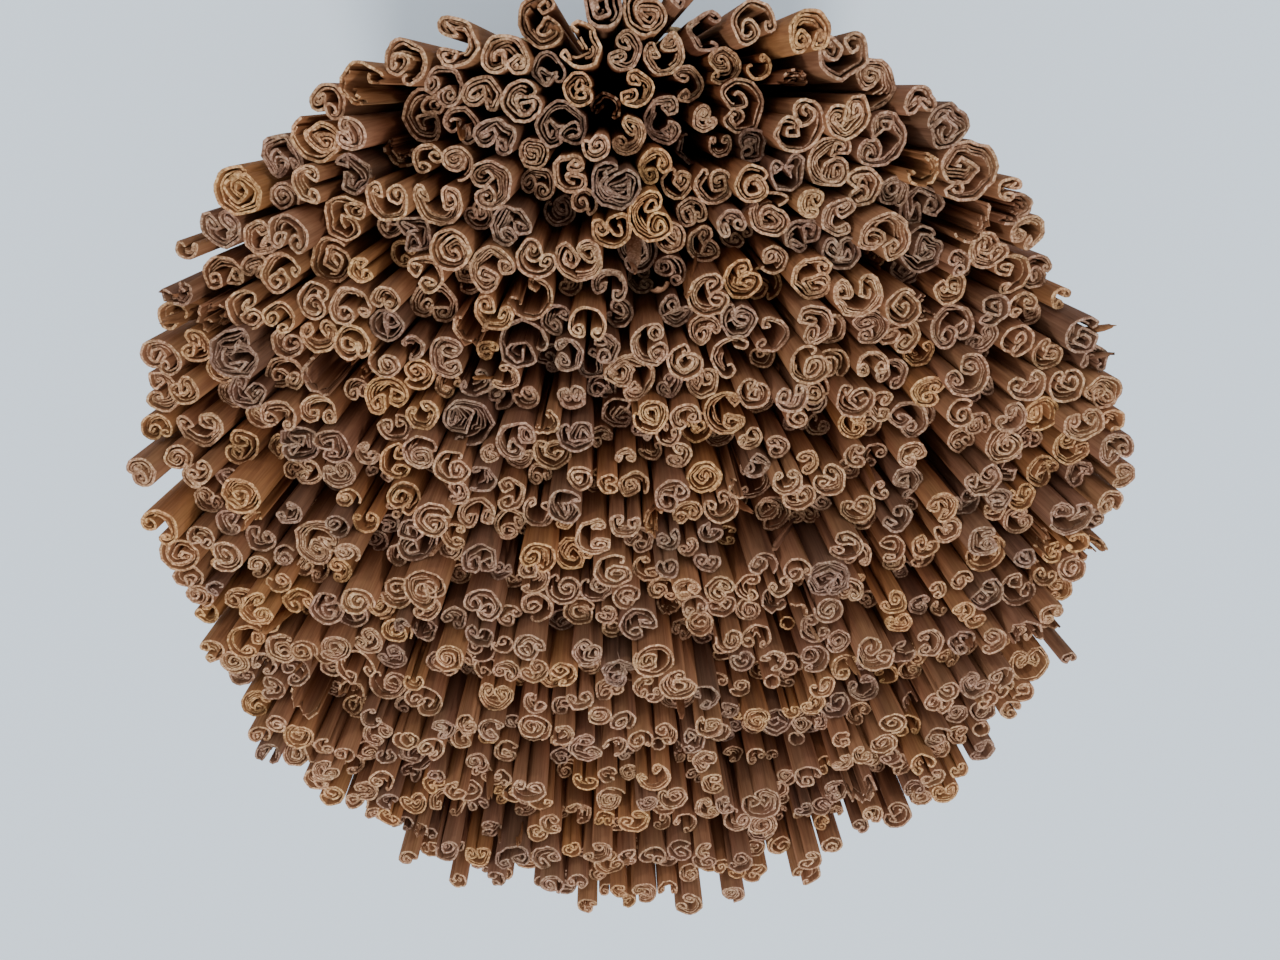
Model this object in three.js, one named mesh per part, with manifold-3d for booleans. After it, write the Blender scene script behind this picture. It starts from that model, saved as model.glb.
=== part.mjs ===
// A sheaf of cinnamon quills standing on end, bound with two ties of twine.
// Millimetres, +Z up. The origin is the middle of the flat foot that the sheaf stands on.

import * as THREE from "three";
import { mergeVertices } from "three/addons/utils/BufferGeometryUtils.js";
import Module from "manifold-3d";

// ---- driving dimensions ----

const QUILLS = 815;             // how many are tied together
const SHEAF_RADIUS = 164.5;     // at the foot, out to the backs of the outermost quills
const MEAN_HEIGHT = 470;        // of the quills' upper ends above the floor
const SPREAD = 1.045;           // how much wider the sheaf is at the upper ends than at the foot
const TIED = 0.33;              // share of that spread that is reached at the upper tie

const QUILL = { thinnest: 6.2, mean: 10.7, thickest: 16.5 };   // diameters in the sheaf's middle
const SORTED = 0.13;            // how much thicker they are at the far side, as a share
const NESTED = 0.96;            // rolls settle into each other's openings by this share
const PRESSING = 130;           // rounds in which the quills push each other apart
const ENDS = { above: 7, below: 9, deepShare: 0.09, deep: 24 };   // unevenness of the ends
const FLARE = { most: 3, aside: 0.6 };   // rim quills' ends bend outwards, this many radians aside
const SWAY = { most: 4, rimZone: 30 };   // how far inner quills bow aside, less so near the rim

// Sides where the sheaf bulges or is pressed in: direction and half width in degrees, and how far.
const BULGES = [
  { at: 297, half: 40, by: 10 },
  { at: 245, half: 30, by: 3 },
  { at: 190, half: 40, by: -7 },
  { at: 36, half: 44, by: -7 },
  { at: 345, half: 25, by: -4 },
];

// Places in the top where the quills stand lower: middle and radius in plan, and how much lower.
const HOLLOWS = [
  { x: 34, y: 140, radius: 27, depth: 26 },
  { x: 14, y: 88, radius: 17, depth: 20 },
  { x: 41, y: 3, radius: 15, depth: 22 },
];

const CORE_DROP = 36;           // depth of the core's top under the mean height of the ends
const SHOWN = { top: 11.4, rim: 8.4 };   // quills drawn thinner than this stay in the core
const SIDES = { few: 4, many: 6, manyFrom: 14 };   // of a quill, and of one thicker than the last

const TIE = { heights: [44, 250], turns: 3, twine: 3.6, gap: 0.4 };
const BEND_HEIGHT = 262;        // where quills bend, just above the upper tie

// ---- seeded draws ----

let seed = 20417;

function draw() {
  seed = (Math.imul(seed, 1664525) + 1013904223) >>> 0;
  return seed / 4294967296;
}

// A draw between -1.5 and 1.5 that is mostly near 0.
function drawNearZero() {
  return draw() + draw() + draw() - 1.5;
}

function drawDiameter() {
  const wide = QUILL.mean + 2.7 * drawNearZero() + (draw() < 0.12 ? 3.2 : 0);
  return Math.min(QUILL.thickest, Math.max(QUILL.thinnest, wide));
}

// ---- how the quills stand at the foot ----

// The sheaf's outline at the foot in the direction of a place: its distance from the axis.
function outlineTowards(x, y) {
  const towards = THREE.MathUtils.radToDeg(Math.atan2(y, x));
  let out = SHEAF_RADIUS;
  for (const bulge of BULGES) {
    const aside = THREE.MathUtils.euclideanModulo(towards - bulge.at + 180, 360) - 180;
    const off = Math.abs(aside) / bulge.half;
    if (off < 1) {
      out += bulge.by * (1 + Math.cos(Math.PI * off)) / 2;
    }
  }
  return out;
}

// Places on a spiral that spreads the quills evenly. They are then drawn apart towards +Y and
// the quills made as much thicker there.
function gatherQuills() {
  const quills = [];
  const grade = SORTED / SHEAF_RADIUS;
  for (let i = 0; i < QUILLS; i += 1) {
    const distance = 0.98 * SHEAF_RADIUS * Math.sqrt((i + 0.5) / QUILLS);
    const turn = i * Math.PI * (3 - Math.sqrt(5));
    const u = distance * Math.cos(turn);
    const v = distance * Math.sin(turn);
    const x = u + grade * u * v;
    const y = v - grade * (u * u - v * v) / 2 - SORTED * SHEAF_RADIUS / 2;
    const sizeRank = drawDiameter();
    const thickness = sizeRank * Math.hypot(1 + grade * v, grade * u);
    quills.push({ x, y, thickness, sizeRank, radius: NESTED * thickness / 2 });
  }
  return quills;
}

// The ties press the quills together: those that overlap push each other apart, and the outline
// holds them in.
function pressTogether(quills) {
  for (let round = 0; round < PRESSING; round += 1) {
    const pushes = quills.map(() => ({ x: 0, y: 0 }));
    for (let i = 0; i < quills.length; i += 1) {
      for (let j = i + 1; j < quills.length; j += 1) {
        const dx = quills[j].x - quills[i].x;
        const dy = quills[j].y - quills[i].y;
        const touching = quills[i].radius + quills[j].radius;
        if (dx * dx + dy * dy >= touching * touching) {
          continue;
        }
        const apart = Math.sqrt(dx * dx + dy * dy);
        const push = 0.3 * (touching - apart) / apart;
        pushes[i].x -= push * dx;
        pushes[i].y -= push * dy;
        pushes[j].x += push * dx;
        pushes[j].y += push * dy;
      }
    }
    quills.forEach((quill, i) => {
      quill.x += pushes[i].x;
      quill.y += pushes[i].y;
      const limit = outlineTowards(quill.x, quill.y) - quill.radius;
      const held = Math.min(1, limit / Math.hypot(quill.x, quill.y));
      quill.x *= held;
      quill.y *= held;
    });
  }
  return quills;
}

// A quill is on the rim when its back reaches the outline.
function isOnRim(quill) {
  return Math.hypot(quill.x, quill.y) + quill.radius > outlineTowards(quill.x, quill.y) - 3;
}

function hollowDepth(x, y) {
  let depth = 0;
  for (const hollow of HOLLOWS) {
    const near = 1 - Math.hypot(x - hollow.x, y - hollow.y) / hollow.radius;
    depth += hollow.depth * Math.min(1, Math.max(0, 1.6 * near));
  }
  return depth;
}

// Gives every quill its upper end: how high it stands and how far it leans outwards.
function raiseQuills(quills) {
  for (const quill of quills) {
    quill.onRim = isOnRim(quill);
    const uneven = draw();
    const deep = draw() < ENDS.deepShare ? ENDS.deep * draw() : 0;
    const dip = hollowDepth(quill.x * SPREAD, quill.y * SPREAD);
    quill.height = MEAN_HEIGHT + ENDS.above - (ENDS.above + ENDS.below) * uneven - deep - dip;
    const flare = FLARE.most * draw() ** 2;
    quill.flare = quill.onRim ? flare : 0;
    quill.flareTurn = FLARE.aside * (2 * draw() - 1);
    const inside = Math.max(0, SHEAF_RADIUS - Math.hypot(quill.x, quill.y)) / SWAY.rimZone;
    const sway = quill.onRim ? 0 : SWAY.most * Math.sqrt(draw()) * Math.min(1, inside);
    const swayTurn = 2 * Math.PI * draw();
    quill.sway = new THREE.Vector2(sway * Math.cos(swayTurn), sway * Math.sin(swayTurn));
    quill.turn = quill.onRim ? Math.atan2(quill.y, quill.x) : 2 * Math.PI * draw();
  }
  return quills;
}

const quills = raiseQuills(pressTogether(gatherQuills()));

// How far a height is past the upper tie, as a share of the way to the upper ends.
function pastTie(z) {
  return Math.max(0, z - BEND_HEIGHT) / (MEAN_HEIGHT - BEND_HEIGHT);
}

// How much wider the sheaf is at a height than at the foot.
function wideningAt(z) {
  return 1 + (SPREAD - 1) * (TIED * Math.min(1, z / BEND_HEIGHT) + (1 - TIED) * pastTie(z));
}

// Where a quill's middle is at a height: the sheaf opens above the upper tie, an inner quill bows
// aside and back between foot and end, and one on the rim bends to the sheaf's round.
function middleAt(quill, z) {
  const past = pastTie(z);
  const lean = wideningAt(z);
  const bow = z < BEND_HEIGHT ? z / BEND_HEIGHT : (quill.height - z) / (quill.height - BEND_HEIGHT);
  const flareTurn = Math.atan2(quill.y, quill.x) + quill.flareTurn;
  return new THREE.Vector2(
    quill.x * lean + quill.sway.x * bow + quill.flare * past * Math.cos(flareTurn),
    quill.y * lean + quill.sway.y * bow + quill.flare * past * Math.sin(flareTurn),
  );
}

// ---- solids ----

const wasm = await Module();
wasm.setup();

function toSolid(geometry) {
  const bare = geometry.clone();
  bare.deleteAttribute("normal");
  bare.deleteAttribute("uv");
  const merged = mergeVertices(bare, 1e-4);
  return new wasm.Manifold(new wasm.Mesh({
    numProp: 3,
    vertProperties: new Float32Array(merged.attributes.position.array),
    triVerts: new Uint32Array(merged.index.array),
  }));
}

function toGeometry(solid) {
  const mesh = solid.getMesh();
  const geometry = new THREE.BufferGeometry();
  geometry.setAttribute("position", new THREE.BufferAttribute(mesh.vertProperties, 3));
  geometry.setIndex(new THREE.BufferAttribute(mesh.triVerts, 1));
  geometry.computeVertexNormals();
  return geometry;
}

// Joins solids two by two, so that no step carries the whole sheaf until the last.
function fuse(solids) {
  let round = solids;
  while (round.length > 1) {
    const next = [];
    for (let i = 0; i < round.length; i += 2) {
      next.push(i + 1 < round.length ? round[i].add(round[i + 1]) : round[i]);
    }
    round = next;
  }
  return round[0];
}

// A quill as a prism of few sides that follows its middle line from one height to another.
function quillPrism(quill, from, to) {
  const radius = quill.thickness / 2;
  const sides = quill.thickness > SIDES.manyFrom ? SIDES.many : SIDES.few;
  const bends = from < BEND_HEIGHT;
  const prism = new THREE.CylinderGeometry(radius, radius, to - from, sides, bends ? 2 : 1);
  prism.rotateX(Math.PI / 2);
  prism.rotateZ(quill.turn);
  prism.translate(0, 0, (from + to) / 2);
  const points = prism.attributes.position;
  for (let i = 0; i < points.count; i += 1) {
    const atBend = bends && Math.abs(points.getZ(i) - (from + to) / 2) < 1;
    const z = atBend ? BEND_HEIGHT : points.getZ(i);
    const middle = middleAt(quill, z);
    points.setXYZ(i, points.getX(i) + middle.x, points.getY(i) + middle.y, z);
  }
  return prism;
}

// The core's outline runs through the middles of the rim quills, and it widens as the sheaf does.
function coreSolid(rim, top) {
  const round = [...rim].sort((a, b) => Math.atan2(a.y, a.x) - Math.atan2(b.y, b.x));
  const outline = new THREE.Shape(round.map((quill) => new THREE.Vector2(quill.x, quill.y)));
  const core = new THREE.ExtrudeGeometry(outline, { depth: top, steps: 2, bevelEnabled: false });
  const points = core.attributes.position;
  for (let i = 0; i < points.count; i += 1) {
    const z = [0, BEND_HEIGHT, top][Math.round(2 * points.getZ(i) / top)];
    const wider = wideningAt(z);
    points.setXYZ(i, points.getX(i) * wider, points.getY(i) * wider, z);
  }
  return toSolid(core);
}

function sheafGeometry() {
  const coreTop = MEAN_HEIGHT - CORE_DROP;
  const rim = quills.filter((quill) => quill.onRim);
  const solids = [coreSolid(rim, coreTop)];
  for (const quill of quills) {
    if (quill.onRim && quill.sizeRank > SHOWN.rim) {
      solids.push(toSolid(quillPrism(quill, 0, quill.height)));
    } else if (quill.sizeRank > SHOWN.top && quill.height > coreTop + 2) {
      solids.push(toSolid(quillPrism(quill, coreTop - 8, quill.height)));
    }
  }
  return toGeometry(fuse(solids));
}

// ---- ties ----

// Convex outline round a set of points (Andrew's monotone chain).
function hullOf(points) {
  const sorted = [...points].sort((a, b) => a.x - b.x || a.y - b.y);
  const turn = (o, a, b) => (a.x - o.x) * (b.y - o.y) - (a.y - o.y) * (b.x - o.x);
  const half = (list) => {
    const chain = [];
    for (const point of list) {
      while (chain.length > 1 && turn(chain.at(-2), chain.at(-1), point) <= 0) {
        chain.pop();
      }
      chain.push(point);
    }
    chain.pop();
    return chain;
  };
  return [...half(sorted), ...half(sorted.reverse())];
}

// The outline of twine laid tight round the sheaf at a height, a distance off the quills.
function tieOutline(z, off) {
  const points = [];
  for (const quill of quills.filter((each) => each.onRim)) {
    const middle = middleAt(quill, z);
    const reach = quill.thickness / 2 + off;
    for (let i = 0; i < 8; i += 1) {
      const angle = quill.turn + i * Math.PI / 4;
      const round = new THREE.Vector2(Math.cos(angle), Math.sin(angle));
      points.push(middle.clone().addScaledVector(round, reach));
    }
  }
  return hullOf(points);
}

function tieGeometry(height) {
  const tall = TIE.turns * TIE.twine;
  const top = height + tall / 2;
  const band = new THREE.Shape(tieOutline(top, TIE.gap + TIE.twine));
  band.holes.push(new THREE.Path(tieOutline(top, TIE.gap)));
  const tie = new THREE.ExtrudeGeometry(band, { depth: tall, bevelEnabled: false });
  tie.translate(0, 0, height - tall / 2);
  return toGeometry(toSolid(tie));
}

// ---- the sheaf, centred over its foot ----

const bark = new THREE.MeshStandardMaterial({ color: 0xa8794f, roughness: 0.8, metalness: 0 });
const twine = new THREE.MeshStandardMaterial({ color: 0xb59a70, roughness: 0.95, metalness: 0 });

const sheaf = new THREE.Mesh(sheafGeometry(), bark);
sheaf.name = "cinnamon_quills";
sheaf.geometry.computeBoundingBox();
const middle = sheaf.geometry.boundingBox.getCenter(new THREE.Vector3());

const ties = TIE.heights.map((height, i) => {
  const tie = new THREE.Mesh(tieGeometry(height), twine);
  tie.name = ["lower_tie", "upper_tie"][i];
  return tie;
});

const group = new THREE.Group();
group.name = "cinnamon_bundle";
group.add(sheaf, ...ties);
group.position.set(-middle.x, -middle.y, 0);

export default group;
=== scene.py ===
# A sheaf of cinnamon quills standing on end, bound with two ties of twine.
# Metres, +Z up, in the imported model's frame, with the origin under the middle of the sheaf.

import math
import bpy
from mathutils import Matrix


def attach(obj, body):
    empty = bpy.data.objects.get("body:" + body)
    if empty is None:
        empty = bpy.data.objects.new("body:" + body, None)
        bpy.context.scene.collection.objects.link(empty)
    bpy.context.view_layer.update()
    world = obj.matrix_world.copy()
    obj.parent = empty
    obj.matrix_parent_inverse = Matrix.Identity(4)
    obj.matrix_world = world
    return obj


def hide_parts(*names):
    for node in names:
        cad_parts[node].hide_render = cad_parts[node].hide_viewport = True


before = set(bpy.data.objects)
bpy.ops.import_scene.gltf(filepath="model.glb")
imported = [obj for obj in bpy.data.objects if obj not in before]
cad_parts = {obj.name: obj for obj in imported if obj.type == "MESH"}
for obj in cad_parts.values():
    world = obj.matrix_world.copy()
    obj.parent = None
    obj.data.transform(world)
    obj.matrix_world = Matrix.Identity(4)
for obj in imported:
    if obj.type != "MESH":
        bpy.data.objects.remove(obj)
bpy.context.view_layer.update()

import types

import bmesh
import bpy
import numpy as np
from mathutils import Matrix, Vector, geometry, noise


# ======== the lay-out of the sheaf ========
# Loose quills of uneven thickness, gathered by hand round the first two and knocked level at the
# foot. The ties hold them there, so they open a little towards their ragged upper ends.

QUILLS = 815                    # how many are tied together
SHEAF_RADIUS = 0.1645           # at the foot, out to the backs of the outermost quills
MEAN_HEIGHT = 0.470             # of the upper ends above the floor
SPREAD = 1.045                  # how much wider the sheaf is at the upper ends than at the foot
TIED = 0.33                     # share of that spread that is reached at the upper tie
THINNEST, MEAN_THICKNESS, THICKEST = 0.0062, 0.0107, 0.0165
SORTED = 0.13                   # how much thicker they are at the far side, as a share
NESTED = 0.96                   # rolls settle into each other's openings by this share
PRESSING = 130                  # rounds in which the quills push each other apart
ENDS_ABOVE, ENDS_BELOW = 0.007, 0.009
DEEP_SHARE, DEEP = 0.09, 0.024  # some quills end this much lower
MOST_FLARE = 0.003              # how far rim quills' ends bend outwards
FLARE_ASIDE = 0.6               # how far that may turn from straight outwards, in radians
SWAY, RIM_ZONE = 0.004, 0.030   # how far inner quills bow aside below their ends
BEND_HEIGHT = 0.262             # where quills bend, just above the upper tie

# Sides where the sheaf bulges or is pressed in: direction and half width in degrees, and how far.
BULGES = ((297, 40, 0.010), (245, 30, 0.003), (190, 40, -0.007), (36, 44, -0.007), (345, 25, -0.004))

# Places in the top where the quills stand lower: x, y, radius, and how much lower.
HOLLOWS = ((0.034, 0.140, 0.027, 0.026), (0.014, 0.088, 0.017, 0.020), (0.041, 0.003, 0.015, 0.022))

seed = 20417


def draw():
    """The next of a fixed series of random numbers from 0 to 1."""
    global seed
    seed = (seed * 1664525 + 1013904223) % 4294967296
    return seed / 4294967296


def draw_near_zero():
    return draw() + draw() + draw() - 1.5


def between(low, high):
    return low + (high - low) * draw()


def draw_thickness():
    wide = MEAN_THICKNESS + 0.0027 * draw_near_zero() + (0.0032 if draw() < 0.12 else 0.0)
    return min(THICKEST, max(THINNEST, wide))


def outline_towards(x, y):
    """The sheaf's outline at the foot in the direction of places: its distance from the axis."""
    out = np.full(np.shape(x), SHEAF_RADIUS)
    for at, half, by in BULGES:
        turn = np.arctan2(y, x) - math.radians(at)
        off = np.abs(np.arctan2(np.sin(turn), np.cos(turn))) / math.radians(half)
        out += np.where(off < 1, by * (1 + np.cos(math.pi * off)) / 2, 0.0)
    return out


def gather_quills():
    """Places on a spiral that spreads the quills evenly, drawn apart and thicker towards +Y."""
    gathered = []
    grade = SORTED / SHEAF_RADIUS
    for i in range(QUILLS):
        distance = 0.98 * SHEAF_RADIUS * math.sqrt((i + 0.5) / QUILLS)
        turn = i * math.pi * (3 - math.sqrt(5))
        u, v = distance * math.cos(turn), distance * math.sin(turn)
        x = u + grade * u * v
        y = v - grade * (u * u - v * v) / 2 - SORTED * SHEAF_RADIUS / 2
        size_rank = draw_thickness()
        radius = size_rank * math.hypot(1 + grade * v, grade * u) / 2
        gathered.append(types.SimpleNamespace(x=x, y=y, radius=radius, size_rank=size_rank))
    return gathered


def press_together(gathered):
    """Those that overlap push each other apart, and the outline holds them in."""
    x, y = np.array([q.x for q in gathered]), np.array([q.y for q in gathered])
    radii = np.array([q.radius for q in gathered]) * NESTED
    touching = radii[:, None] + radii
    np.fill_diagonal(touching, 0.0)
    for pressing in range(PRESSING):
        dx, dy = x[:, None] - x, y[:, None] - y
        apart = np.sqrt(dx * dx + dy * dy)
        np.fill_diagonal(apart, 1.0)
        push = 0.3 * np.maximum(0.0, touching - apart) / apart
        x, y = x + (push * dx).sum(axis=1), y + (push * dy).sum(axis=1)
        held = np.minimum(1.0, (outline_towards(x, y) - radii) / np.hypot(x, y))
        x, y = x * held, y * held
    for quill, place_x, place_y in zip(gathered, x.tolist(), y.tolist()):
        quill.x, quill.y = place_x, place_y


def is_on_rim(quill):
    """A quill is on the rim when its back reaches the outline."""
    back = math.hypot(quill.x, quill.y) + quill.radius * NESTED
    return back > outline_towards(quill.x, quill.y) - 0.003


def hollow_depth(x, y):
    """How much lower the quills stand at a place in the top."""
    depth = 0.0
    for hollow_x, hollow_y, radius, deep in HOLLOWS:
        near = 1 - math.hypot(x - hollow_x, y - hollow_y) / radius
        depth += deep * min(1.0, max(0.0, 1.6 * near))
    return depth


def raise_quills(quills):
    """Gives every quill its height, its flare and its sway."""
    for quill in quills:
        quill.on_rim = is_on_rim(quill)
        uneven = draw()
        deep = DEEP * draw() if draw() < DEEP_SHARE else 0.0
        dip = hollow_depth(quill.x * SPREAD, quill.y * SPREAD)
        quill.height = MEAN_HEIGHT + ENDS_ABOVE - (ENDS_ABOVE + ENDS_BELOW) * uneven - deep - dip
        flare = MOST_FLARE * draw() ** 2
        quill.flare = flare if quill.on_rim else 0.0
        quill.flare_turn = FLARE_ASIDE * (2 * draw() - 1)
        inside = max(0.0, SHEAF_RADIUS - math.hypot(quill.x, quill.y)) / RIM_ZONE
        sway = 0.0 if quill.on_rim else SWAY * math.sqrt(draw()) * min(1.0, inside)
        sway_turn = 2 * math.pi * draw()
        quill.sway = sway * Vector((math.cos(sway_turn), math.sin(sway_turn), 0))
        if not quill.on_rim:
            draw()                  # the turn of its plain solid


def middle_at(quill, z):
    """Where a quill's middle is at a height, before the sheaf is centred over its foot."""
    past = max(0.0, z - BEND_HEIGHT) / (MEAN_HEIGHT - BEND_HEIGHT)
    lean = 1 + (SPREAD - 1) * (TIED * min(1.0, z / BEND_HEIGHT) + (1 - TIED) * past)
    bow = z / BEND_HEIGHT if z < BEND_HEIGHT else (quill.height - z) / (quill.height - BEND_HEIGHT)
    turn = math.atan2(quill.y, quill.x) + quill.flare_turn
    flare = quill.flare * past * Vector((math.cos(turn), math.sin(turn), 0))
    return Vector((quill.x * lean, quill.y * lean, z)) + quill.sway * bow + flare


quills = gather_quills()
press_together(quills)
raise_quills(quills)

def middle_of_sheaf():
    """The middle of the upper ends' width and depth, which everything is moved over to."""
    reaching = [q for q in quills if q.on_rim and q.size_rank > THICK_ON_RIM]
    ends = [(middle_at(q, q.height), q.radius) for q in reaching]
    middle = Vector()
    for axis in (0, 1):
        farthest = max(end[axis] + radius for end, radius in ends)
        nearest = min(end[axis] - radius for end, radius in ends)
        middle[axis] = (farthest + nearest) / 2
    return middle


THICK_ON_RIM = 0.0084           # thinner rim quills don't say how far the sheaf reaches
CENTRE = middle_of_sheaf()


# ======== the quills ========
# Each is a strip of inner bark, scraped thin and dried until its long edges rolled inwards, with
# thinner strips tucked inside. The ends are sawn across, so they show pale layers.

FULLNESS = 1.06                 # a roll's corners fit between its neighbours' round backs
WALL = (0.00072, 0.00090)       # the outer strip's thickness
WALL_SHARE = 0.20               # of the radius, at most
INNER_WALL = (0.48, 0.72)       # thickness of the strips tucked inside, as a share of the outer one's
STRIPS = (1.5, 5.5)             # how many of them, rounded down
ONE_STRIP_RADIUS = 0.0036       # thinner quills have room for one only
STRIP_LOWER = (-0.0003, 0.0027)     # how far they end below the outer strip
GAP = 0.00014                   # between the layers rolled up inside
SLANT = 0.12                    # slope of a sawn end, at most
FRAY, TORN_FRAY = (0.0003, 0.0011), (0.003, 0.010)
THIN = 0.0114                   # quills thinner than this may end deeper,
RIM_BAND = 0.020                # if they aren't this near to the outline:
DEEPER_SHARE = 0.45             # so many of them,
DEEPER = (0.003, 0.021)         # and by so much
TORN_SHARE = 0.05               # quills whose ends are split and frayed
SHARD_SHARE = 0.3               # of these, flat pieces that are hardly rolled
TUBE_RADIUS = 0.0041            # thinner quills than this are often one nearly closed tube
TUBE_SHARE = 0.4
DENT, INNER_DENT = 0.09, 0.22   # how much a strip is crinkled, in radii, and how much more inside
CORNER = 1.3                    # how far a fold may stand out from the middle, in radii
SPLINTER = 0.005                # how far a torn edge may stand up

# A section is a row of arcs from one edge of the strip to the other. Each is given by its radius,
# as a share of the quill's, and by how many degrees it goes round.
ROLLS = {
    "heart": (                  # both edges rolled in alike, up to the middle
        (0.20, 170), (0.36, 170), (0.50, 190), (1.0, 200), (0.50, 190), (0.36, 170), (0.20, 170)),
    "deep_heart": (             # both edges rolled in tighter, with a deeper notch
        (0.16, 200), (0.28, 200), (0.42, 195), (1.0, 225), (0.54, 200), (0.38, 190), (0.22, 190)),
    "kidney": (                 # a flattened back
        (0.20, 180), (0.34, 180), (0.50, 195), (1.0, 95), (1.3, 32), (1.0, 95), (0.50, 195),
        (0.30, 180)),
    "bean": (                   # a flattened back, and one side larger
        (0.18, 160), (0.34, 180), (0.44, 190), (0.95, 110), (1.25, 30), (0.90, 90), (0.52, 190),
        (0.32, 180)),
    "lopsided": (               # one edge rolled in much further
        (0.20, 200), (0.34, 190), (1.0, 225), (0.66, 180), (0.46, 180), (0.26, 180)),
    "scroll": (                 # one edge rolled in, the other just hooked
        (0.24, 170), (1.0, 250), (0.66, 190), (0.48, 190), (0.30, 190)),
    "rolled": (                 # one edge only, wound up like paper
        (1.0, 200), (0.84, 180), (0.66, 170), (0.46, 190), (0.26, 180)),
    "open": (                   # a wide hollow between small curls
        (0.20, 190), (0.32, 190), (1.0, 245), (0.36, 200), (0.22, 170)),
    "arch": ((0.26, 230), (0.92, 215), (0.30, 210)),
    "tube": ((0.5, 120), (0.8, 330)),
    "shard": ((0.5, 60), (1.2, 130), (0.4, 50)),
}
KIND_SHARES = (                 # of the whole quills; the torn and the thinnest have their own kinds
    ("heart", 0.18), ("deep_heart", 0.17), ("kidney", 0.13), ("bean", 0.12), ("lopsided", 0.14),
    ("scroll", 0.12), ("rolled", 0.07), ("open", 0.05), ("arch", 0.02))


def lay_arcs(mesh, arcs, start=(0, 0, 0), heading=0.0, arc_step=24):
    """Lays arcs end to end, all turning the same way, and says where each one's centre is.

    The widest arc is divided every arc_step degrees, and tighter ones more coarsely.
    """
    point = mesh.verts.new(start)
    laid = []
    widest = max(radius for radius, degrees in arcs)
    for radius, degrees in arcs:
        angle = math.radians(degrees)
        step = math.radians(arc_step * (1 + 0.8 * (1 - radius / widest)))
        centre = point.co + radius * Vector((-math.sin(heading), math.cos(heading), 0))
        swept = bmesh.ops.spin(
            mesh, geom=[point], cent=centre, axis=(0, 0, 1), angle=angle,
            steps=max(2, round(angle / step)))
        point = next(item for item in swept["geom_last"] if isinstance(item, bmesh.types.BMVert))
        laid.append((centre, radius, heading, angle))
        heading += angle
    return laid


def uneven_arcs(arcs, by=0.13):
    """The arcs with their sizes drawn a little apart, so that no two quills are alike."""
    uneven = []
    for radius, degrees in arcs:
        radius *= between(1 - by, 1 + by)
        degrees *= between(1 - by, 1 + by)
        uneven.append((radius, degrees))
    return uneven


def lay_inner_sheet(mesh, laid, deep, first, arc_step):
    """Lays a sheet inside another, everywhere the same depth in from it."""
    wide = [arc for arc in laid[first:] if arc[1] > deep + 0.12]
    if not wide:
        return
    trim = between(0.0, 0.6)
    centre, radius, heading, angle = wide[0]
    heading += angle * trim
    start = centre + (radius - deep) * Vector((math.sin(heading), -math.cos(heading), 0))
    arcs = [(arc[1] - deep, math.degrees(arc[3])) for arc in wide]
    arcs[0] = (arcs[0][0], arcs[0][1] * (1 - trim))
    arcs[-1] = (arcs[-1][0], arcs[-1][1] * between(0.4, 1.0))
    lay_arcs(mesh, arcs, start, heading, arc_step)


def fit_section(mesh, verts, quill, wall):
    """Scales a section into the quill's round and turns it its own way.

    Its outer half says how far it reaches, so that a single corner doesn't shrink it.
    """
    low = [min(v.co[i] for v in verts) for i in (0, 1)]
    high = [max(v.co[i] for v in verts) for i in (0, 1)]
    middle = Vector(((low[0] + high[0]) / 2, (low[1] + high[1]) / 2, 0))
    outer = sorted((v.co - middle).length for v in verts)[len(verts) // 2:]
    reach = (outer[-1] + sum(outer) / len(outer)) / 2
    scale = (quill.radius * FULLNESS - wall) / reach
    slim = math.sqrt((high[0] - low[0]) / (high[1] - low[1]))
    squeeze = Matrix.Diagonal((min(1.0, 1 / slim ** 0.5), min(1.25, max(0.9, slim)), 1, 1))
    centred = Matrix.Scale(scale, 4) @ squeeze @ Matrix.Translation(-middle)
    turned = Matrix.Rotation(quill.roll, 4, "Z") @ centred
    bmesh.ops.transform(mesh, matrix=turned, verts=verts)


def crinkle(mesh, quill):
    """Dents a section as dry bark does: inner sheets more than the outer one, grey old bark most."""
    own = Vector((quill.x, quill.y, 0)) * 40
    old = 1 + 0.9 * max(0.0, 1 - quill.tone / 0.3)
    for vert in mesh.verts:
        at = vert.co * 240 + own
        dent = Vector((noise.noise(at), noise.noise(at + Vector((0, 0, 7))), 0))
        deep = 1 - min(1.0, vert.co.length / quill.radius)
        vert.co += dent * quill.radius * (DENT + INNER_DENT * deep) * old


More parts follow.
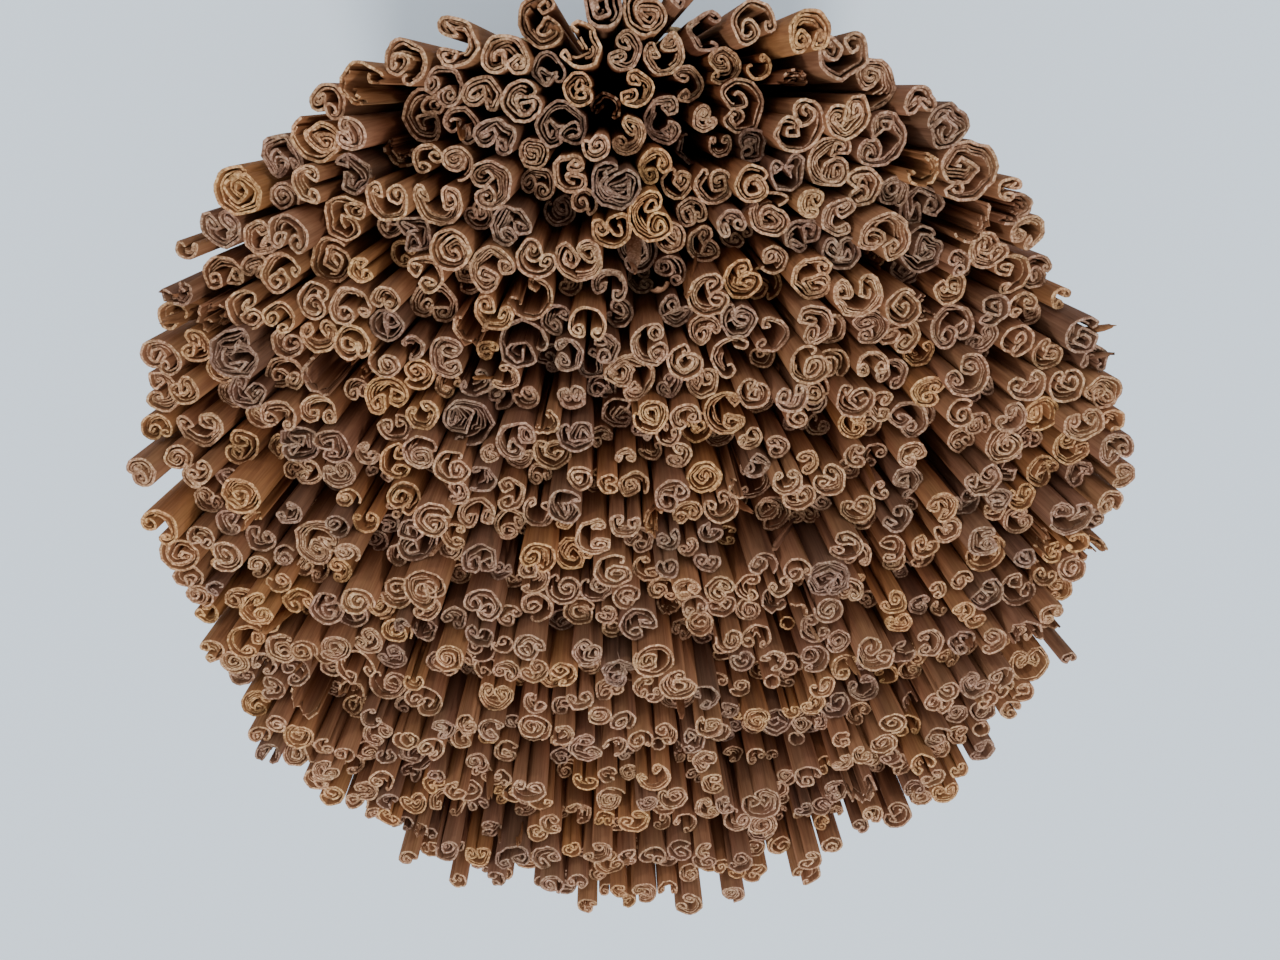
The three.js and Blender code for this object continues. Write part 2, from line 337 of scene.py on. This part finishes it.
def raise_sheet(mesh, quill, edges, to_z, fray):
    """Draws a section up along the quill, frays its upper edge and turns its back outwards.

    The faces of the back point away from the quill's middle, so that the wall grows inwards.
    """
    foot = {v for e in edges for v in e.verts}
    bmesh.ops.translate(mesh, vec=middle_at(quill, 0.0), verts=list(foot))
    faces, below = [], 0.0
    for z in (BEND_HEIGHT, to_z):
        made = bmesh.ops.extrude_edge_only(mesh, edges=edges)["geom"]
        verts = [item for item in made if isinstance(item, bmesh.types.BMVert)]
        edges = [item for item in made if isinstance(item, bmesh.types.BMEdge)]
        faces += [item for item in made if isinstance(item, bmesh.types.BMFace)]
        bmesh.ops.translate(mesh, vec=middle_at(quill, z) - middle_at(quill, below), verts=verts)
        below = z
    middle = middle_at(quill, to_z)
    slope = Vector((quill.slant_x, quill.slant_y, 0))
    for vert in verts:
        off = vert.co - middle
        ragged = noise.noise(vert.co * 900) * 0.7 + noise.noise(vert.co * 2600) * 0.5
        vert.co.z += off.dot(slope) + fray * ragged
        vert.co += Vector((off.x, off.y, 0)) * 0.06 * noise.noise(vert.co * 700)
    bmesh.ops.recalc_face_normals(mesh, faces=faces)
    axis = (middle_at(quill, 0.0) + middle_at(quill, BEND_HEIGHT)) / 2
    outwards = 0.0
    for face in faces[:len(edges)]:
        outwards += face.normal.dot(face.calc_center_median() - axis) * face.calc_area()
    if outwards < 0:
        bmesh.ops.reverse_faces(mesh, faces=faces)
    return faces


def blunt_folds(mesh, quill):
    """Draws back the corners that a sharp fold pushed out of the quill's round."""
    for vert in mesh.verts:
        middle = middle_at(quill, min(vert.co.z, quill.height))
        off = Vector((vert.co.x - middle.x, vert.co.y - middle.y, 0))
        if off.length > CORNER * quill.radius:
            vert.co -= off * (1 - CORNER * quill.radius / off.length)
        vert.co.z = min(vert.co.z, quill.height + SPLINTER)


def make_quill(quill, kind):
    """One quill: its outer strip of bark and the thinner strips rolled up inside it."""
    mesh = bmesh.new()
    looks = mesh.faces.layers.float_vector.new("looks")
    wall = min(between(*WALL), quill.radius * WALL_SHARE)
    thin = wall * between(*INNER_WALL)
    unit = (quill.radius * FULLNESS - wall) / 1.05      # a whole section is about 1.05 of its units
    fray = between(*TORN_FRAY) if quill.torn else between(*FRAY)
    arc_step = 20 - 40 * max(0.0, quill.y)      # finer for the thicker quills at the far side
    arcs = [arc for arc in uneven_arcs(ROLLS[kind]) if arc[0] * unit > wall]
    laid = lay_arcs(mesh, arcs, arc_step=arc_step)
    sheets = [(list(mesh.edges), wall, 0.0, between(0.6, 1.0))]
    deep = wall
    for strip in range(quill.stuffing):
        known = set(mesh.edges)
        first = int(between(0, len(laid) * 0.6)) if strip else 0
        deep += GAP * between(0.8, 2.2)
        lay_inner_sheet(mesh, laid, deep / unit, first, arc_step)
        deep += thin
        strips = [edge for edge in mesh.edges if edge not in known]
        if strips:
            sheets.append((strips, thin, between(*STRIP_LOWER), draw()))
    fit_section(mesh, list(mesh.verts), quill, wall)
    crinkle(mesh, quill)
    # Painted shade: the bark of inner quills is darkened below their tips, that of rim quills is not.
    painted_shade = 0.0 if quill.on_rim else 1.0
    known_faces = set()
    for edges, thickness, lower, shade in sheets:
        raised = raise_sheet(mesh, quill, edges, quill.height - lower, fray)
        bmesh.ops.solidify(mesh, geom=raised, thickness=thickness)
        whole = [face for face in mesh.faces if face not in known_faces]
        bmesh.ops.recalc_face_normals(mesh, faces=whole)
        known_faces.update(whole)
        for face in whole:
            cut = abs(face.normal.z) > 0.5
            face.smooth = not cut
            face[looks] = (quill.tone, 1.0, shade) if cut else (quill.tone, 0.0, painted_shade)
    blunt_folds(mesh, quill)
    made = bpy.data.meshes.new("quill")
    bmesh.ops.translate(mesh, vec=-CENTRE, verts=list(mesh.verts))
    mesh.to_mesh(made)
    mesh.free()
    return made


def choose_kind(quill):
    """Draws how a quill is rolled, cut and coloured."""
    torn, pick = draw() < TORN_SHARE, draw()
    quill.torn = torn
    quill.roll = 2 * math.pi * draw()
    quill.tone = draw()
    quill.slant_x, quill.slant_y = between(-SLANT, SLANT), between(-SLANT, SLANT)
    quill.stuffing = int(between(*STRIPS)) if quill.radius > ONE_STRIP_RADIUS else 1
    inside = outline_towards(quill.x, quill.y) - math.hypot(quill.x, quill.y)
    if quill.size_rank < THIN and inside > RIM_BAND and draw() < DEEPER_SHARE:
        quill.height -= between(*DEEPER)
    if torn:
        return "shard" if draw() < SHARD_SHARE else "arch"
    if quill.radius < TUBE_RADIUS and draw() < TUBE_SHARE:
        quill.stuffing = 0
        return "tube"
    for kind, share in KIND_SHARES:
        if pick < share:
            return kind
        pick -= share
    return "open"


def join_meshes(name, meshes):
    """Joins loose meshes into one object that sits at the origin."""
    objects = []
    for mesh in meshes:
        each = bpy.data.objects.new(name, mesh)
        bpy.context.scene.collection.objects.link(each)
        objects.append(each)
    with bpy.context.temp_override(active_object=objects[0], selected_editable_objects=objects):
        bpy.ops.object.join()
    objects[0].name = name
    return objects[0]


def node(material, kind, **values):
    """A new node of a material, with its settings."""
    made = material.node_tree.nodes.new(kind)
    for key, value in values.items():
        setattr(made, key, value)
    return made


def mixed(material, factor, first, second, blend="MIX"):
    """Mixes two colours; each may be a socket or a plain value."""
    mix = node(material, "ShaderNodeMix", data_type="RGBA", blend_type=blend)
    for socket, value in zip((mix.inputs[0], mix.inputs[6], mix.inputs[7]), (factor, first, second)):
        if isinstance(value, bpy.types.NodeSocket):
            material.node_tree.links.new(value, socket)
        else:
            socket.default_value = value
    return mix.outputs[2]


def streaks(material, across, along, detail=4.0):
    """Noise drawn out along the quills."""
    links = material.node_tree.links
    place = node(material, "ShaderNodeTexCoord")
    stretch = node(material, "ShaderNodeMapping")
    stretch.inputs["Scale"].default_value = (across, across, along)
    grain = node(material, "ShaderNodeTexNoise")
    grain.inputs["Scale"].default_value = 1.0
    grain.inputs["Detail"].default_value = detail
    links.new(place.outputs["Object"], stretch.inputs["Vector"])
    links.new(stretch.outputs["Vector"], grain.inputs["Vector"])
    return grain.outputs["Fac"]


def ramp(material, factor, *stops):
    """Turns a value into a colour; each stop is a value and its colour."""
    made = node(material, "ShaderNodeValToRGB")
    while len(made.color_ramp.elements) < len(stops):
        made.color_ramp.elements.new(0.5)
    for element, (position, colour) in zip(made.color_ramp.elements, stops):
        element.position = position
        element.color = colour
    material.node_tree.links.new(factor, made.inputs["Fac"])
    return made.outputs["Color"]


PAINTED_SHADE_FROM, DARKEST_FROM = 0.474, 0.446       # heights between which painted shade darkens the bark of inner quills downwards


def bark_material():
    """Silky orange-brown bark with long streaks, and pale fibrous layers where it is cut.

    Each face says how its quill is toned, whether it is a cut, and then how pale its layer is, or
    on bark whether it is inside the sheaf, where its bark takes painted shade.
    """
    material = bpy.data.materials.new("cinnamon_bark")
    material.use_nodes = True
    tree = material.node_tree
    shader = tree.nodes["Principled BSDF"]
    looks = node(material, "ShaderNodeAttribute", attribute_name="looks", attribute_type="GEOMETRY")
    parts = node(material, "ShaderNodeSeparateXYZ")
    tree.links.new(looks.outputs["Vector"], parts.inputs["Vector"])
    tone, cut, shade = parts.outputs

    # Long streaks of darker and lighter brown, with fine fibres over them.
    long_streaks = streaks(material, 330, 7)
    fine_streaks = streaks(material, 1500, 40, 2.0)
    bark = ramp(
        material, long_streaks, (0.28, (0.165, 0.069, 0.030, 1)), (0.50, (0.222, 0.097, 0.042, 1)),
        (0.74, (0.293, 0.139, 0.065, 1)))
    bark = mixed(material, 0.20, bark, ramp(
        material, fine_streaks, (0.35, (0.07, 0.032, 0.015, 1)), (0.65, (0.36, 0.20, 0.105, 1))))

    # Painted shade: below the tips, the bark of quills inside the sheaf is darkened more and more
    # downwards, where the quills shade each other.
    place = node(material, "ShaderNodeTexCoord")
    height = node(material, "ShaderNodeSeparateXYZ")
    tree.links.new(place.outputs["Object"], height.inputs["Vector"])
    inside = node(material, "ShaderNodeMapRange")
    inside.inputs["From Min"].default_value = PAINTED_SHADE_FROM
    inside.inputs["From Max"].default_value = DARKEST_FROM
    tree.links.new(height.outputs["Z"], inside.inputs["Value"])
    painted_shade = node(material, "ShaderNodeMath", operation="MULTIPLY")
    tree.links.new(inside.outputs["Result"], painted_shade.inputs[0])
    tree.links.new(shade, painted_shade.inputs[1])
    # The colour of the painted shade, multiplied into the bark of inner quills.
    bark = mixed(material, painted_shade.outputs[0], bark, mixed(
        material, 1.0, bark, (0.58, 0.42, 0.32, 1), "MULTIPLY"))

    # Every quill has its own tone, from grey to straw, and patches lean to red or yellow.
    own = ramp(
        material, tone, (0.0, (0.57, 0.57, 0.67, 1)), (0.20, (0.80, 0.77, 0.84, 1)),
        (0.42, (0.99, 0.95, 0.94, 1)), (0.75, (1.05, 1.0, 0.93, 1)), (1.0, (1.17, 1.05, 0.76, 1)))
    casts = ramp(
        material, streaks(material, 140, 12, 2.0), (0.36, (1.03, 0.975, 1.0, 1)),
        (0.64, (0.985, 1.015, 0.95, 1)))
    own = mixed(material, 1.0, own, casts, "MULTIPLY")
    bark = mixed(material, 1.0, bark, own, "MULTIPLY")

    # Cuts are pale fibre ends, darker in patches, and each rolled layer has a shade of its own.
    fibres = streaks(material, 1300, 1300, 6.0)
    pale = ramp(
        material, fibres, (0.30, (0.19, 0.100, 0.056, 1)), (0.50, (0.485, 0.308, 0.190, 1)),
        (0.70, (0.79, 0.58, 0.41, 1)))
    patches = ramp(
        material, streaks(material, 420, 420, 3.0), (0.36, (0.60, 0.54, 0.49, 1)),
        (0.60, (1.06, 1.04, 1.02, 1)))
    pale = mixed(material, 1.0, pale, patches, "MULTIPLY")
    layer = ramp(material, shade, (0.0, (0.56, 0.50, 0.44, 1)), (1.0, (1.07, 1.05, 1.01, 1)))
    pale = mixed(material, 1.0, mixed(material, 1.0, pale, own, "MULTIPLY"), layer, "MULTIPLY")
    tree.links.new(mixed(material, cut, bark, pale), shader.inputs["Base Color"])

    shader.inputs["Roughness"].default_value = 0.72
    shader.inputs["Specular IOR Level"].default_value = 0.28
    relief = node(material, "ShaderNodeBump")
    relief.inputs["Strength"].default_value = 0.35
    relief.inputs["Distance"].default_value = 0.0004
    tree.links.new(fine_streaks, relief.inputs["Height"])
    tree.links.new(relief.outputs["Normal"], shader.inputs["Normal"])
    return material


bark = bark_material()
by_kind = {}
for quill in quills:
    kind = choose_kind(quill)
    by_kind.setdefault(kind, []).append(make_quill(quill, kind))

for kind, meshes in by_kind.items():
    piece = join_meshes(kind + "_quills", meshes)
    piece.data.materials.clear()
    piece.data.materials.append(bark)
    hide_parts("cinnamon_quills")
    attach(piece, "root")


# ======== slivers and broken quills ========
# Pieces of bark that split off when the quills were broken to length. They stay wedged between
# the ends, and a few stand out over the rim.

SLIVERS = (                     # x, y, how far the tip leans outwards or inwards, length, width
    (0.157, 0.063, 0.75, 0.030, 0.0048), (0.158, 0.053, 0.85, 0.030, 0.0040),
    (0.014, 0.087, 0.25, 0.040, 0.0050), (0.006, 0.094, -0.50, 0.026, 0.0042),
    (0.022, 0.083, -0.35, 0.030, 0.0036), (0.040, 0.003, 0.40, 0.034, 0.0030),
    (0.046, -0.004, -0.45, 0.028, 0.0026), (0.034, 0.008, 0.15, 0.030, 0.0034),
    (-0.011, 0.163, 0.20, 0.032, 0.0048), (-0.073, 0.117, 0.35, 0.030, 0.0040),
    (-0.063, 0.022, -0.30, 0.028, 0.0040), (-0.137, 0.097, 0.55, 0.030, 0.0038),
    (-0.141, 0.090, 0.30, 0.026, 0.0030),
)
LOOSE_SLIVERS = 34              # smaller ones, anywhere in the top


def make_sliver(x, y, lean, length, width):
    """A thin curved strip that twists a little and narrows to a ragged tip."""
    mesh = bmesh.new()
    looks = mesh.faces.layers.float_vector.new("looks")
    lay_arcs(mesh, [(width * between(0.5, 1.1), between(60, 130))], heading=2 * math.pi * draw())
    middle = sum((v.co for v in mesh.verts), Vector()) / len(mesh.verts)
    outward = Vector((x, y, 0)).normalized()
    aside = Vector((-outward.y, outward.x, 0)) * between(-0.3, 0.3)
    along = (Vector((0, 0, 1)) + (outward + aside) * lean).normalized()
    tip = Vector((x, y, MEAN_HEIGHT + between(-0.006, 0.010)))
    foot = tip - along * length
    bmesh.ops.translate(mesh, vec=foot - middle, verts=list(mesh.verts))
    edges, faces, place = list(mesh.edges), [], foot
    for share, narrower in ((0.4, 0.98), (0.3, 0.92), (0.2, 0.8), (0.1, 0.55)):
        made = bmesh.ops.extrude_edge_only(mesh, edges=edges)["geom"]
        verts = [item for item in made if isinstance(item, bmesh.types.BMVert)]
        edges = [item for item in made if isinstance(item, bmesh.types.BMEdge)]
        faces += [item for item in made if isinstance(item, bmesh.types.BMFace)]
        bmesh.ops.translate(mesh, vec=along * length * share, verts=verts)
        place = place + along * length * share
        twist = Matrix.Rotation(between(-0.25, 0.25), 3, along)
        bmesh.ops.transform(
            mesh, matrix=twist.to_4x4() @ Matrix.Scale(narrower, 4), verts=verts,
            space=Matrix.Translation(-place))
    for vert in verts:
        vert.co += along * 0.004 * noise.noise(vert.co * 1800)
    bmesh.ops.recalc_face_normals(mesh, faces=faces)
    bmesh.ops.solidify(mesh, geom=faces, thickness=between(0.0005, 0.0009))
    bmesh.ops.recalc_face_normals(mesh, faces=list(mesh.faces))
    tone, shade = draw(), draw()
    paleness = 0.6 if draw() < 0.25 else 0.0
    for face in mesh.faces:
        face.smooth = True
        narrow = min(edge.calc_length() for edge in face.edges) < width * 0.12
        face[looks] = (tone, 1.0 if narrow else paleness, shade)
    bmesh.ops.translate(mesh, vec=-CENTRE, verts=list(mesh.verts))
    made = bpy.data.meshes.new("sliver")
    mesh.to_mesh(made)
    mesh.free()
    return made


slivers = [make_sliver(*sizes) for sizes in SLIVERS]
for number in range(LOOSE_SLIVERS):
    where = (SHEAF_RADIUS - 0.012) * math.sqrt(draw())
    turn = 2 * math.pi * draw()
    slivers.append(make_sliver(
        where * math.cos(turn), where * math.sin(turn), between(-0.35, 0.45),
        between(0.018, 0.034), between(0.0018, 0.0036)))

piece = join_meshes("slivers", slivers)
piece.data.materials.clear()
piece.data.materials.append(bark)
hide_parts("cinnamon_quills")
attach(piece, "root")


# ======== the ties ========
# Two-ply plant-fibre twine, wound three times round the sheaf at two heights, pulled tight and
# knotted with the tails left hanging.

TWINE = 0.0036                  # thickness of the twine
PLY_PITCH = 0.011               # length of one twist of its two plies
TIES = {"lower_tie": (0.044, 205), "upper_tie": (0.250, 248)}   # height, and where the knot is
TURNS = 3                       # round the sheaf, one above the other
TAILS = ((1, 0.038), (-1, 0.030))   # to which side of the knot each hangs, and how long it is
POINT_EVERY = 0.0018            # along the path of the twine


def outline_at(z, off):
    """The tight outline round the sheaf at a height: its corners, and how far along each is."""
    points = []
    for quill in quills:
        if quill.on_rim:
            middle = middle_at(quill, z) - CENTRE
            for step in range(12):
                angle = step * math.pi / 6
                reach = quill.radius + off
                points.append((middle.x + reach * math.cos(angle), middle.y + reach * math.sin(angle)))
    hull = [Vector(points[i]) for i in geometry.convex_hull_2d(points)]
    hull.append(hull[0])
    along = np.concatenate(([0.0], np.cumsum([(b - a).length for a, b in zip(hull, hull[1:])])))
    return hull, along


def walk(hull, along, distance):
    """The place that is this far along the outline."""
    distance %= along[-1]
    x = np.interp(distance, along, [corner.x for corner in hull])
    y = np.interp(distance, along, [corner.y for corner in hull])
    return Vector((x, y))


def wind(hull, along, start, height):
    """The turns, which climb by one thickness of twine each."""
    girth = along[-1]
    count = int(TURNS * girth / POINT_EVERY)
    path = []
    for i in range(count + 1):
        at = i / count * TURNS
        place = walk(hull, along, start + at * girth)
        path.append(Vector((*place, height + (at - TURNS / 2) * TWINE)))
    return path


def knot(centre, out, across):
    """An overhand knot, drawn tight against the turns."""
    path = []
    for i in range(73):
        t = 2 * math.pi * i / 72
        aside = across * 0.0023 * (math.sin(t) + 2 * math.sin(2 * t))
        upwards = Vector((0, 0, 0.0021)) * (math.cos(t) - 2 * math.cos(2 * t))
        path.append(centre + aside + upwards - out * 0.0019 * math.sin(3 * t))
    return path


def tail(centre, out, across, way, length):
    """An end that comes out beside the knot and hangs down against the quills."""
    path = []
    for i in range(int(length / POINT_EVERY)):
        gone = i * POINT_EVERY / length
        aside = across * way * (0.004 + 0.010 * gone ** 0.7)
        path.append(centre + aside + out * (0.0012 - 0.003 * gone) - Vector((0, 0, length * gone)))
    return path


def twist_plies(name, path):
    """Two plies twisted round a path, as one mesh."""
    data = bpy.data.curves.new(name, "CURVE")
    data.dimensions = "3D"
    data.bevel_depth = TWINE * 0.29
    data.bevel_resolution = 1
    data.use_fill_caps = True
    for ply in (0, 1):
        spline = data.splines.new("POLY")
        spline.points.add(len(path) - 1)
        gone = 0.0
        for i, place in enumerate(path):
            ahead = (path[min(i + 1, len(path) - 1)] - path[max(i - 1, 0)]).normalized()
            outward = Vector((place.x, place.y, 0.0)).normalized()
            outward = (outward - ahead * outward.dot(ahead)).normalized()
            aside = ahead.cross(outward)
            gone += (place - path[max(i - 1, 0)]).length
            angle = 2 * math.pi * gone / PLY_PITCH + math.pi * ply
            offset = (outward * math.cos(angle) + aside * math.sin(angle)) * TWINE * 0.23
            spline.points[i].co = (*(place + offset), 1.0)
            spline.points[i].radius = 1.0 + 0.12 * noise.noise(place * 400 + Vector((ply * 9, 0, 0)))
    rope = bpy.data.objects.new(name, data)
    made = bpy.data.meshes.new_from_object(rope)
    bpy.data.objects.remove(rope)
    return made


def twine_material():
    """Dull straw-coloured fibre with darker hairs and dust in the lay."""
    material = bpy.data.materials.new("plant_twine")
    material.use_nodes = True
    tree = material.node_tree
    shader = tree.nodes["Principled BSDF"]
    hairs = streaks(material, 1500, 1500, 6.0)
    patches = streaks(material, 60, 60, 2.0)
    straw = ramp(
        material, hairs, (0.30, (0.15, 0.095, 0.05, 1)), (0.52, (0.34, 0.235, 0.13, 1)),
        (0.74, (0.52, 0.40, 0.25, 1)))
    worn = ramp(material, patches, (0.35, (0.78, 0.74, 0.70, 1)), (0.65, (1.06, 1.04, 1.0, 1)))
    tree.links.new(mixed(material, 1.0, straw, worn, "MULTIPLY"), shader.inputs["Base Color"])
    shader.inputs["Roughness"].default_value = 0.92
    shader.inputs["Specular IOR Level"].default_value = 0.15
    relief = node(material, "ShaderNodeBump")
    relief.inputs["Strength"].default_value = 0.6
    relief.inputs["Distance"].default_value = 0.0004
    tree.links.new(hairs, relief.inputs["Height"])
    tree.links.new(relief.outputs["Normal"], shader.inputs["Normal"])
    return material


plant_twine = twine_material()
for name, (height, knot_at) in TIES.items():
    hull, along = outline_at(height, 0.0004 + TWINE / 2)
    towards = Vector((math.cos(math.radians(knot_at)), math.sin(math.radians(knot_at))))
    places = np.arange(0, along[-1], 0.002)
    knot_side = max(places, key=lambda d: walk(hull, along, d).normalized().dot(towards))
    side = walk(hull, along, knot_side)
    out = Vector((side.x, side.y, 0)).normalized()
    across = Vector((-out.y, out.x, 0))
    centre = Vector((*side, height)) + out * TWINE * 0.9
    paths = [wind(hull, along, knot_side, height), knot(centre, out, across)]
    for way, length in TAILS:
        paths.append(tail(centre, out, across, way, length))
    tie = join_meshes(name + "_twine", [twist_plies(name, path) for path in paths])
    tie.data.materials.clear()
    tie.data.materials.append(plant_twine)
    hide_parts(name)
    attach(tie, "root")


# ======== the camera, the floor and the light ========
# The camera stands above the far rim and looks down across the top of the sheaf.

LENS_PX = 950                   # focal length in pixels of the 1280-pixel-wide frame
TILT = math.radians(23.7)       # from looking straight down
ROLL = math.radians(-4.88)
EYE = Vector((0.0, 0.1537, 0.767))

cos_roll, sin_roll = math.cos(ROLL), math.sin(ROLL)
cos_tilt, sin_tilt = math.cos(TILT), math.sin(TILT)
right = Vector((cos_roll, cos_tilt * sin_roll, -sin_tilt * sin_roll))
up = Vector((-sin_roll, cos_tilt * cos_roll, -sin_tilt * cos_roll))
back = Vector((0, sin_tilt, cos_tilt))
camera_data = bpy.data.cameras.new("camera")
camera_data.sensor_width = 36
camera_data.lens = 36 * LENS_PX / 1280
camera_data.clip_start = 0.01
camera = bpy.data.objects.new("camera", camera_data)
camera.matrix_world = Matrix.Translation(EYE) @ Matrix((right, up, back)).transposed().to_4x4()
bpy.context.scene.collection.objects.link(camera)
bpy.context.scene.camera = camera

floor_mesh = bmesh.new()
bmesh.ops.create_grid(floor_mesh, x_segments=1, y_segments=1, size=6)
floor_data = bpy.data.meshes.new("floor")
floor_mesh.to_mesh(floor_data)
floor_mesh.free()
floor = bpy.data.objects.new("floor", floor_data)
bpy.context.scene.collection.objects.link(floor)
floor_material = bpy.data.materials.new("pale_floor")
floor_material.use_nodes = True
floor_shader = floor_material.node_tree.nodes["Principled BSDF"]
floor_shader.inputs["Base Color"].default_value = (0.77, 0.89, 1.0, 1)
floor_shader.inputs["Roughness"].default_value = 0.55
floor_data.materials.append(floor_material)

world = bpy.data.worlds.new("room")
world.use_nodes = True
world.node_tree.nodes["Background"].inputs["Color"].default_value = (0.95, 0.97, 1.0, 1)
world.node_tree.nodes["Background"].inputs["Strength"].default_value = 0.98
bpy.context.scene.world = world

lamp_data = bpy.data.lights.new("ceiling_lamp", "SUN")
lamp_data.energy = 1.75
lamp_data.angle = math.radians(9)
lamp = bpy.data.objects.new("ceiling_lamp", lamp_data)
lamp.rotation_euler = (math.radians(28), 0, 0)
bpy.context.scene.collection.objects.link(lamp)
